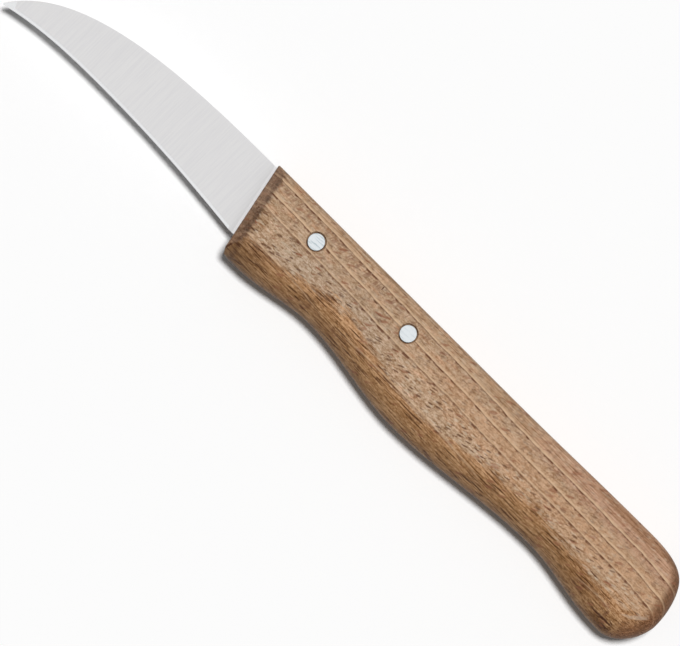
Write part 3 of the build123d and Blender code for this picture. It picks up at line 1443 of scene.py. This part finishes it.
@dataclass(frozen=True)
class Teeth(Layer):
    """Short leaning teeth that hang from the ring line below the strip."""

    colour: Colour = linear(134, 98, 78)
    lean: float = 0.35
    pattern: Cloud = Cloud((2.1, 1.0, 0.2), fade=Fade(0.5, 0.62))
    tip: Fade = Fade(2.0, 1.1)
    root: Fade = Fade(0.1, 0.5)
    line: Fade = Fade(TEETH_RADIUS, TEETH_RADIUS + 0.3)
    off_strip: Fade = Fade(0.5, 0.0)
    span: Fade = Fade(6.0, 34.0, 0.6, 0.15)

    def lay_on(self, wood: Wood) -> None:
        """Lay the teeth on.

        Args:
            wood: Surface so far.
        """
        cut = wood.cut
        x, ring, below = cut.lines
        teeth = self.pattern.at((x + below * self.lean, ring, below))
        inside = self.tip.of(below) * self.root.of(below) * self.line.of(cut.radius)
        share = teeth * inside * self.off_strip.of(cut.strip) * self.span.of(x)
        wood.lay(self.colour, share)


@dataclass(frozen=True)
class RingLines(Layer):
    """Ring lines, pale on their inner side and dark with pores on their outer side."""

    pattern: Cloud = Cloud((0.62, 1.0, 0.0))
    angles: Fade = Fade(math.radians(2.0), math.radians(12.0))
    steepness: Fade = Fade(0.15, 0.7, 0.5, 1.0)
    at_ends: Range = (1.0, 0.35)
    pale_colour: Colour = linear(212, 180, 147)
    pale_width: Fade = Fade(0.6, 0.15)
    pale_gaps: Fade = Fade(0.3, 0.6, 0.4, 0.9)
    dark_colour: Colour = linear(122, 90, 68)
    dark_share: float = 0.4
    dark_width: Range = (0.32, 0.48)
    dark_edge: Fade = Fade(1.0, 0.35)
    pore_colour: Colour = linear(94, 54, 36)
    pores: Fade = Fade(0.48, 0.64)
    pore_share: float = 0.8

    def lay_on(self, wood: Wood) -> None:
        """Lay the lines on, the pale side raised and the dark side sunk.

        Args:
            wood: Surface so far.
        """
        cut = wood.cut
        pattern = self.pattern.raw(cut.lines)
        crossing = self.angles.of(cut.angle) * self.steepness.of(cut.steepness)
        crossing = crossing * cut.end.spread(*self.at_ends)
        pale = self.pale_width.of(cut.above) * self.pale_gaps.of(pattern) * crossing
        pores = self.pores.of(pattern)
        dark = self.dark_edge.of(cut.below / pores.spread(*self.dark_width)) * crossing
        wood.lay(self.pale_colour, pale)
        wood.lay(self.dark_colour, dark * self.dark_share)
        wood.lay(self.pore_colour, dark * pores * self.pore_share)
        wood.relief = wood.relief + pale - dark


@dataclass(frozen=True)
class ButtHighlight(Layer):
    """A painted highlight: two pale places of gloss on the butt's lower corner."""

    colour: Colour = linear(208, 188, 168)
    places: Streaks = Streaks(
        (
            Mark(107.8, -12.6, 4.8, 0.95, 40.0, 0.4),
            Mark(106.4, -13.6, 3.6, 0.6, 28.0, 0.35),
        )
    )

    def lay_on(self, wood: Wood) -> None:
        """Lay the painted highlight on."""
        wood.lay(self.colour, self.places.at(wood.cut.place))


@dataclass(frozen=True)
class Beech:
    """Steamed beech, sawn so that its growth rings run along the handle."""

    tree: Tree = Tree()
    face_colour: Colour = linear(182, 152, 124)
    strip_colour: Colour = linear(179, 146, 116)
    strip_blend: Fade = Fade(STRIP_RADIUS - 0.3, STRIP_RADIUS + 0.4)
    layers: tuple[Layer, ...] = (
        Patches(),
        Tint(
            linear(190, 149, 115),
            along=(Fade(8.0, 36.0),),
            across=(Fade(STRIP_RADIUS - 0.6, STRIP_RADIUS - 2.6), Fade(8.0, 10.6)),
            strength=0.6,
        ),
        Tint(
            linear(184, 145, 118),
            along=(Fade(34.0, 60.0),),
            across=(Fade(STRIP_RADIUS - 2.0, STRIP_RADIUS),),
        ),
        Tint(
            linear(176, 151, 127),
            along=(Fade(18.0, 6.0), Fade(-19.0, -12.0)),
            across=(Fade(13.0, 10.0),),
            strength=0.8,
        ),
        FlatGround(),
        EndGrain(),
        FlatGrain(),
        Unevenness(),
        Speckles(),
        Teeth(),
        RingLines(),
        # A painted highlight of gloss on the butt's lower corner.
        ButtHighlight(),
    )
    coat: Coat = Coat(roughness=0.55, mark_strength=1.0, mark_depth=0.06, specular=0.14)

    def material(self) -> bpy.types.Material:
        """Make the material.

        Returns:
            Wood with its ring lines, pores, rays and a faint relief.
        """
        wiring = Wiring.for_material("steamed_beech")
        cut = self.tree.cut(wiring)
        strip = self.strip_blend.of(cut.radius)
        wood = Wood(cut, wiring.blend(strip, self.face_colour, self.strip_colour))
        for layer in self.layers:
            layer.lay_on(wood)
        return wiring.surface(wood.colour, wood.relief, self.coat)


@dataclass(frozen=True)
class Station:
    """One place that the handle's outline passes through."""

    x: float
    y: float
    heading: float
    rounding: float


@dataclass
class Rivets:
    """Two solid rivets, each in a bore with a shallow seat for either head."""

    drop: float = 5.3
    places: Mapping[Node, float] = field(
        default_factory=lambda: {Node.FRONT_RIVET: 15.2, Node.REAR_RIVET: 39.6}
    )
    radius: float = 1.6
    clearance: float = 0.03
    head_radius: float = 1.68
    head_depth: float = 0.8
    head_gap: float = 0.27
    head_edge: float = 0.16
    head_dome: float = 0.04
    recess: float = 0.03
    half_thickness: float = 6.5
    overrun: float = 3.0
    turn_steps: int = 96
    edge_steps: int = 5
    dome_steps: int = 4
    crease: float = 50.0

    def axis(self, node: Node) -> Vector:
        """Find the point on the middle plane that a rivet's axis passes through."""
        return Vector((self.places[node], -self.drop, 0.0))

    def head_profile(self) -> list[tuple[float, float]]:
        """Draw the upper half of a rivet from its waist to its pole.

        Returns:
            Radius and height of each point.
        """
        top = self.half_thickness - self.recess
        under = top - self.head_depth
        shoulder = top - self.head_dome - self.head_edge
        profile = [(self.radius, 0.0), (self.radius, under), (self.head_radius, under)]
        for step in range(self.edge_steps + 1):
            turn = math.pi / 2 * step / self.edge_steps
            radius = self.head_radius - self.head_edge * (1 - math.cos(turn))
            profile.append((radius, shoulder + self.head_edge * math.sin(turn)))
        flat = self.head_radius - self.head_edge
        for step in range(1, self.dome_steps + 1):
            share = 1 - step / self.dome_steps
            profile.append((flat * share, top - self.head_dome * share**2))
        return profile

    def bore_profile(self) -> list[tuple[float, float]]:
        """Draw the upper half of the bore and its seat, past the flat side.

        Returns:
            Radius and height of each point.
        """
        bore = self.radius + self.clearance
        seat = self.head_radius + self.head_gap
        floor = self.half_thickness - self.recess - self.head_depth
        past = self.half_thickness + self.overrun
        return [(bore, 0.0), (bore, floor), (seat, floor), (seat, past), (0.0, past)]

    def both_ways(self, node: Node, profile: Profile) -> bmesh.types.BMesh:
        """Turn a profile and its mirror image below the middle plane about an axis.

        Args:
            node: Rivet whose axis it is.
            profile: Radius and height of each point, from the middle plane up.

        Returns:
            The turned piece.
        """
        lower = [(radius, -height) for radius, height in reversed(profile[1:])]
        return turned([*lower, *profile], self.axis(node), self.turn_steps)

    def bore(self, node: Node, finishes: Sequence[bpy.types.Material]) -> bpy.types.Object:
        """Make the cutter for one rivet's bore and seats, in the second material."""
        return make_object(self.both_ways(node, self.bore_profile()), "bore_cutter", finishes, 1)

    def build(self, finish: bpy.types.Material) -> None:
        """Make both rivets and hand them over.

        Args:
            finish: Material of the rivets.
        """
        for node in self.places:
            skin = self.both_ways(node, self.head_profile())
            rivet = make_object(skin, f"{node.value}_turned", [finish])
            shade(rivet, self.crease)
            hand_over(rivet, node)


@dataclass
class Blade:
    """Curved blade with its honed edge, its blunt heel and the tang in the handle."""

    rivets: Rivets
    reach: float = 58.4
    spine_step: float = 0.65
    tip_drop: float = 15.4
    spine_run: float = 26.1
    tip_rise: float = 15.0
    tip_angle: float = 56.8
    tip_height: float = 0.4
    heel_drop: float = 15.3
    edge_rear: tuple[float, float] = (13.5, 13.95)
    edge_hollow: tuple[float, float] = (34.5, 13.25)
    edge_front: tuple[float, float] = (51.0, 14.05)
    edge_headings: tuple[float, ...] = (173.9, 176.1, 179.9, 187.3, 193.4)
    thickness: float = 1.2
    tip_thickness: float = 0.7
    edge_thickness: float = 0.28
    edge_flat: float = 0.04
    bevel_height: float = 0.55
    bevel_limit: float = 0.4
    honed_tilt: float = 6.0
    honed_face: float = 0.5
    spine_soften: float = 0.12
    soften_limit: float = 0.25
    heel_flat: float = 1.6
    heel_ramp: float = 0.2
    entry: float = 1.5
    tang_overlap: float = 0.3
    shoulder: float = 2.0
    shoulder_step: float = 2.1
    tang_behind_rivet: float = 8.4
    tang_below_rivet: float = 2.3
    tang_round: float = 1.2
    drill_length: float = 2.4
    spine_steps: int = 128
    edge_steps: int = 32
    stations: int = 72
    flank_steps: int = 3
    round_steps: int = 6
    crease: float = 35.0

    def at_slant(self, drop: float, setback: float) -> Vector:
        """Find the point at a depth that lies a setback behind the handle's front."""
        return Vector((slanted_front(drop) + setback, -drop, 0.0))

    def tang_end(self, below: float = 0.0) -> Vector:
        """Find the lower rear corner of the tang, or a point some way below it.

        Args:
            below: How far below the corner the point lies.

        Returns:
            The point.
        """
        back = self.rivets.places[Node.REAR_RIVET] + self.tang_behind_rivet
        drop = self.rivets.drop + self.tang_below_rivet + below
        return Vector((back, -drop, 0.0))

    def spine_path(self) -> list[Vector]:
        """Draw the blade's spine from the blunt heel to the tip.

        Returns:
            Points along the spine.
        """
        start = self.at_slant(self.spine_step, -self.heel_flat)
        tip = Vector((-self.reach, self.tip_height - self.tip_drop, 0.0))
        along = start - Vector((self.spine_run, 0.0, 0.0))
        climb = tip + heading_vector(self.tip_angle) * self.tip_rise
        return list(interpolate_bezier(start, along, climb, tip, self.spine_steps))

    def edge_path(self) -> list[Vector]:
        """Draw the hollow cutting edge from the blunt heel to the tip.

        Returns:
            Points along the edge.
        """
        knots = [self.edge_rear, self.edge_hollow, self.edge_front, (self.reach, self.tip_drop)]
        points = [self.at_slant(self.heel_drop, -self.heel_flat)]
        points += [Vector((-back, -drop, 0.0)) for back, drop in knots]
        headings = [heading_vector(heading) for heading in self.edge_headings]
        return smooth_path(points, headings, [self.edge_steps] * len(knots))

    def ring(
        self, top: Vector, low: Vector, back: float, thin: float, sharp: float
    ) -> list[Vector]:
        """Draw one section of the blade.

        Args:
            top: Middle of the spine at this section.
            low: Cutting edge at this section.
            back: Thickness at the spine.
            thin: Thickness that the flats would have at the edge.
            sharp: Thickness that is left at the edge itself.

        Returns:
            Points round the section, spine first.
        """
        fall = low - top
        bevel = min(self.bevel_height, fall.length * self.bevel_limit)
        soften_size = min(self.spine_soften, min(back, fall.length) * self.soften_limit)
        corner = soften_size * (1 - math.cos(math.pi / 4))
        flank = 1 - bevel / fall.length
        shares = [soften_size / fall.length]
        shares += [flank * step / self.flank_steps for step in range(1, self.flank_steps + 1)]
        rows = [
            (0.0, back / 2 - soften_size),
            (corner / fall.length, back / 2 - corner),
            *((share, (back + (thin - back) * share) / 2) for share in shares),
            (1.0, sharp / 2),
        ]
        upper = [top + fall * share + Vector((0.0, 0.0, half)) for share, half in rows]
        lower = [top + fall * share - Vector((0.0, 0.0, half)) for share, half in reversed(rows)]
        return upper + lower

    def heel_ring(self, setback: float) -> list[Vector]:
        """Draw a section of the blunt heel along the slant of the handle's front.

        Args:
            setback: How far behind the handle's front it lies.

        Returns:
            Points round the section, spine first.
        """
        top = self.at_slant(self.spine_step, setback)
        low = self.at_slant(self.heel_drop, setback)
        return self.ring(top, low, self.thickness, self.edge_thickness, self.edge_thickness)

    def flats(self) -> bmesh.types.BMesh:
        """Skin the blade from inside the handle to the tip.

        Returns:
            The closed mesh, with its honed faces in the second material.
        """
        spine, edge = self.spine_path(), self.edge_path()
        blunt_end = self.heel_ramp - self.heel_flat
        rings = [self.heel_ring(self.entry), self.heel_ring(blunt_end)]
        for index in range(self.stations + 1):
            share = index / self.stations
            back = self.thickness + (self.tip_thickness - self.thickness) * share
            top, low = at_share(spine, share), at_share(edge, share)
            rings.append(self.ring(top, low, back, self.edge_thickness, self.edge_flat))
        skin = skin_rings(rings)
        heel = slanted_front(self.heel_drop) - self.heel_flat
        flattest = math.cos(math.radians(self.honed_tilt))
        for face in skin.faces:
            tilted = self.honed_face < abs(face.normal.z) < flattest
            before_heel = face.calc_center_median().x < heel
            face.material_index = int(tilted and face.normal.y < 0 and before_heel)
        return skin

    def tang(self) -> bmesh.types.BMesh:
        """Cut the flat plate that lies in the handle's kerf.

        Returns:
            The plate.
        """
        setback = self.entry - self.tang_overlap
        heel = self.at_slant(self.heel_drop, setback)
        step = heel + Vector((self.tang_overlap + self.shoulder, 0.0, 0.0))
        end = self.tang_end()
        corners = [
            self.at_slant(self.spine_step, setback),
            heel,
            step,
            step + Vector((0.0, self.shoulder_step, 0.0)),
            end,
            Vector((end.x, -self.spine_step, 0.0)),
        ]
        plate = bmesh.new()
        half = Vector((0.0, 0.0, self.thickness / 2))
        bmesh.ops.contextual_create(plate, geom=[plate.verts.new(c - half) for c in corners])
        raised = bmesh.ops.extrude_face_region(plate, geom=plate.faces[:])["geom"]
        tops = [part for part in raised if isinstance(part, bmesh.types.BMVert)]
        bmesh.ops.translate(plate, verts=tops, vec=half * 2)
        bmesh.ops.recalc_face_normals(plate, faces=plate.faces)
        upright = [
            edge
            for edge in plate.edges
            if all(abs(vert.co.x - end.x) < WELD for vert in edge.verts)
            and abs(edge.verts[0].co.z - edge.verts[1].co.z) > WELD
        ]
        soften(plate, upright, self.tang_round, self.round_steps)
        return plate

    def build(self, satin: bpy.types.Material, honed: bpy.types.Material) -> None:
        """Make the blade with its tang, drill it for the rivets and hand it over.

        Args:
            satin: Material of the flats, the spine and the tang.
            honed: Material of the cutting edge.
        """
        finishes = [satin, honed]
        blade = make_object(self.flats(), "blade_ground", finishes)
        combine(blade, make_object(self.tang(), "tang_plate", finishes), Joining.FUSE)
        hole = self.rivets.radius + self.rivets.clearance
        for node in self.rivets.places:
            drill = drum(hole, self.drill_length, self.rivets.axis(node), self.rivets.turn_steps)
            combine(blade, make_object(drill, "hole_cutter", finishes), Joining.CUT)
        shade(blade, self.crease)
        sharpen_between_materials(blade.data)
        hand_over(blade, Node.BLADE)


@dataclass
class Handle:
    """One block of beech with rounded edges, a slanted front and a sawn kerf."""

    blade: Blade
    rivets: Rivets
    length: float = 111.5
    thickness: float = 13.0
    nose: tuple[float, float] = (7.0, 19.35)
    front_waist: tuple[float, float] = (25.0, 17.15)
    belly: tuple[float, float] = (50.0, 19.9)
    rear_waist: tuple[float, float] = (84.0, 17.2)
    hook: tuple[float, float] = (104.2, 19.5)
    rise: tuple[float, float] = (60.0, 0.0)
    crown: tuple[float, float] = (99.0, -0.46)
    top_corner: tuple[float, float] = (108.3, 1.8)
    top_corner_heading: float = -42.0
    butt_drop: float = 11.2
    bottom_corner: tuple[float, float] = (108.9, 17.4)
    bottom_corner_heading: float = -135.0
    spine_round: float = 1.5
    top_corner_round: float = 2.6
    butt_round: float = 4.2
    bottom_corner_round: float = 5.6
    belly_land: float = 0.6
    front_bevel: float = 2.1
    front_bevel_angle: float = 45.0
    front_corner_round: float = 1.8
    front_soften: float = 0.32
    front_weld: float = 0.032
    crisp_angle: float = 24.0
    kerf_clearance: float = 0.05
    kerf_below_heel: float = 1.2
    kerf_below_tang: float = 0.9
    saw_radius: float = 125.0
    overrun: float = 3.0
    level_steps: int = 16
    corner_steps: int = 6
    soften_steps: int = 3
    saw_segments: int = 720
    span_steps: tuple[int, ...] = (14, 14, 14, 14, 14, 14, 20, 18, 18)
    straight_steps: int = 12
    crease: float = 32.0

    def stations(self) -> list[Station]:
        """List the places that the outline passes through, with the wood on its right.

        Returns:
            Stations along the spine, over the butt and back along the belly.
        """
        along, down, back = 0.0, -QUARTER_TURN, 2 * QUARTER_TURN
        belly_round = (self.thickness - self.belly_land) / 2
        butt = (self.length, self.butt_drop)
        rows = [
            (self.rise, along, self.spine_round),
            (self.crown, along, self.spine_round),
            (self.top_corner, self.top_corner_heading, self.top_corner_round),
            (butt, down, self.butt_round),
            (self.bottom_corner, self.bottom_corner_heading, self.bottom_corner_round),
        ]
        for place in (self.hook, self.rear_waist, self.belly, self.front_waist, self.nose):
            rows.append((place, back, belly_round))
        return [Station(x, -drop, heading, rounding) for (x, drop), heading, rounding in rows]

    def inset(self, rounding: float, height: float) -> float:
        """Work out how far a rounded edge has drawn in at a height off the middle.

        Args:
            rounding: Radius that the edge is rounded to.
            height: Height off the middle plane.

        Returns:
            Distance from the outline at the middle plane.
        """
        climb = max(0.0, abs(height) - (self.thickness / 2 - rounding))
        return rounding - math.sqrt(max(0.0, rounding**2 - climb**2))

    def level(self, height: float) -> list[Vector]:
        """Draw the outline of the handle at one height, with its front left long.

        Args:
            height: Height off the middle plane.

        Returns:
            Points round the outline.
        """
        points, headings = [], []
        for station in self.stations():
            inward = heading_vector(station.heading - QUARTER_TURN)
            middle = Vector((station.x, station.y, height))
            points.append(middle + inward * self.inset(station.rounding, height))
            headings.append(heading_vector(station.heading))
        curve = smooth_path(points, headings, self.span_steps)
        first = Vector((-self.overrun, curve[0].y, height))
        last = Vector((-self.overrun, curve[-1].y, height))
        steps = self.straight_steps
        spine = [first.lerp(curve[0], step / steps) for step in range(steps)]
        nose = [curve[-1].lerp(last, step / steps) for step in range(1, steps + 1)]
        return spine + curve + nose

    def heights(self) -> list[float]:
        """List the levels of the handle, closer together where its edges turn over.

        Returns:
            Heights off the middle plane, from the lower flat side to the upper one.
        """
        land = self.belly_land / 2
        rounding = self.thickness / 2 - land
        turns = [math.pi / 2 * step / self.level_steps for step in range(self.level_steps + 1)]
        upper = [land + rounding * math.sin(turn) for turn in turns]
        return [-height for height in reversed(upper)] + upper

    def cut_front(self, skin: bmesh.types.BMesh) -> None:
        """Cut the slanted front, its two bevels and its lower corner, and soften them.

        Args:
            skin: Handle with its front left long.
        """
        outward = heading_vector(2 * QUARTER_TURN + FRONT_SLANT)
        slice_off(skin, Vector(ORIGIN), outward)
        tilt = math.radians(self.front_bevel_angle)
        for side in Side:
            edge = Vector((0.0, 0.0, side.value * self.thickness / 2))
            facing = outward * math.sin(tilt) + Vector((0.0, 0.0, side.value * math.cos(tilt)))
            slice_off(skin, outward * -self.front_bevel + edge, facing)
        corner = self.blade.at_slant(self.nose[1], 0.0)
        opening = math.radians((QUARTER_TURN + FRONT_SLANT) / 2)
        reach = self.front_corner_round / math.tan(opening)
        centre = corner + Vector((reach, self.front_corner_round, 0.0))
        turn = QUARTER_TURN - FRONT_SLANT
        for step in range(1, self.corner_steps):
            heading = 2 * QUARTER_TURN + FRONT_SLANT + turn * step / self.corner_steps
            facing = heading_vector(heading)
            slice_off(skin, centre + facing * self.front_corner_round, facing)
        bmesh.ops.remove_doubles(skin, verts=skin.verts, dist=self.front_weld)
        crisp_angle = math.radians(self.crisp_angle)
        crisp = [edge for edge in skin.edges if edge.calc_face_angle(0.0) > crisp_angle]
        soften(skin, crisp, self.front_soften, self.soften_steps)
        bmesh.ops.remove_doubles(skin, verts=skin.verts, dist=WELD)
        close_holes(skin)
        bmesh.ops.dissolve_degenerate(skin, dist=WELD, edges=skin.edges)

    def saw_disc(self) -> bmesh.types.BMesh:
        """Make the disc of the round saw that cuts the kerf for the tang.

        Returns:
            The disc, whose rim runs just below the heel and the end of the tang.
        """
        front = self.blade.at_slant(self.blade.heel_drop + self.kerf_below_heel, 0.0)
        rear = self.blade.tang_end(self.kerf_below_tang)
        chord = rear - front
        rise = math.sqrt(self.saw_radius**2 - (chord.length / 2) ** 2)
        upward = Vector((-chord.y, chord.x, 0.0)).normalized()
        width = self.blade.thickness + 2 * self.kerf_clearance
        centre = (front + rear) / 2 + upward * rise
        return drum(self.saw_radius, width, centre, self.saw_segments)

    def build(self, smooth: bpy.types.Material, sawn: bpy.types.Material) -> None:
        """Make the handle, saw and bore it, and hand it over.

        Args:
            smooth: Material of the outside.
            sawn: Material of the kerf and the bores.
        """
        finishes = [smooth, sawn]
        skin = skin_rings([self.level(height) for height in self.heights()])
        self.cut_front(skin)
        handle = make_object(skin, "handle_carved", finishes)
        combine(handle, make_object(self.saw_disc(), "saw_disc", finishes, 1), Joining.CUT)
        for node in self.rivets.places:
            combine(handle, self.rivets.bore(node, finishes), Joining.CUT)
        shade(handle, self.crease)
        hand_over(handle, Node.HANDLE)


@dataclass
class Studio:
    """Pale floor, soft light from overhead and the camera straight above."""

    floor_colour: Colour = linear(254, 254, 254)
    floor_bounce: Colour = linear(178, 178, 178)
    floor_size: float = 6.0
    ambient_colour: Colour = linear(255, 255, 255)
    ambient: float = 0.13
    key_strength: float = 2.72
    key_tilt: float = 10.4
    key_angle: float = 9.5
    sensor: float = 36.0
    lens: float = 420.9
    nearest: float = 0.01
    farthest: float = 20.0
    camera_height: float = 1.5
    camera_turn: float = 45.0
    aim: tuple[float, float] = (2.56, -3.22)

    def seen(self, wiring: Wiring) -> Value:
        """Tell whether a surface is looked at, straight on or in metal.

        Args:
            wiring: Tree of the material or the world.

        Returns:
            One for such a look, and nought for light that is only scattered.
        """
        rays = wiring.node("LightPath").outputs
        names = ("Is Camera Ray", "Is Glossy Ray", "Is Transmission Ray")
        return reduce(Value.most, [Value(wiring, rays[name]) for name in names])

    def build_floor(self) -> None:
        """Lay the floor that the knife lies on."""
        plane = bmesh.new()
        bmesh.ops.create_grid(plane, x_segments=1, y_segments=1, size=self.floor_size / 2)
        mesh = bpy.data.meshes.new("floor")
        plane.to_mesh(mesh)
        plane.free()
        wiring = Wiring.for_material("floor_paper")
        colour = wiring.blend(self.seen(wiring), self.floor_bounce, self.floor_colour)
        wiring.end("Material", wiring.add("BsdfDiffuse", {"Color": colour}))
        mesh.materials.append(bpy.data.materials["floor_paper"])
        floor = link_object("floor", mesh)

    def build_world(self) -> None:
        """Light the scene softly from all round, before a white background."""
        world = bpy.data.worlds.new("studio")
        world.use_nodes = True
        world.node_tree.nodes.clear()
        bpy.context.scene.world = world
        wiring = Wiring(world.node_tree)
        strength = self.seen(wiring).spread(self.ambient, 1.0)
        inputs = {"Strength": strength, "Color": self.ambient_colour}
        wiring.end("World", wiring.add("Background", inputs))

    def build_key(self) -> None:
        """Hang the key light nearly overhead, leaning towards the spine."""
        key = bpy.data.lights.new("key", "SUN")
        key.energy = self.key_strength
        key.angle = math.radians(self.key_angle)
        lamp = link_object("key", key)
        lamp.rotation_euler = (-math.radians(self.key_tilt), 0.0, 0.0)
        lamp.visible_glossy = False

    def build_camera(self) -> None:
        """Set the camera straight above, turned so that the knife lies aslant."""
        camera = bpy.data.cameras.new("camera")
        camera.sensor_width = self.sensor
        camera.lens = self.lens
        camera.clip_start = self.nearest
        camera.clip_end = self.farthest
        holder = link_object("camera", camera)
        height = SPINE_FRONT.z * MM + self.camera_height
        holder.location = (self.aim[0] * MM, self.aim[1] * MM, height)
        holder.rotation_euler = (0.0, 0.0, math.radians(self.camera_turn))
        bpy.context.scene.camera = holder

    def build(self) -> None:
        """Build the whole studio."""
        self.build_floor()
        self.build_world()
        self.build_key()
        self.build_camera()
        bpy.context.scene.view_settings.view_transform = "Standard"


def main() -> None:
    """Build the knife and the studio, and report each piece."""
    logging.basicConfig(level=logging.INFO, format="%(name)s: %(message)s")
    rivets = Rivets()
    blade = Blade(rivets)
    handle = Handle(blade, rivets)
    rivets.build(BrushedAluminium().material())
    blade.build(SatinSteel().material(), HonedSteel().material())
    handle.build(Beech().material(), SawnBeech().material())
    Studio().build()


if __name__ == "__main__":
    main()
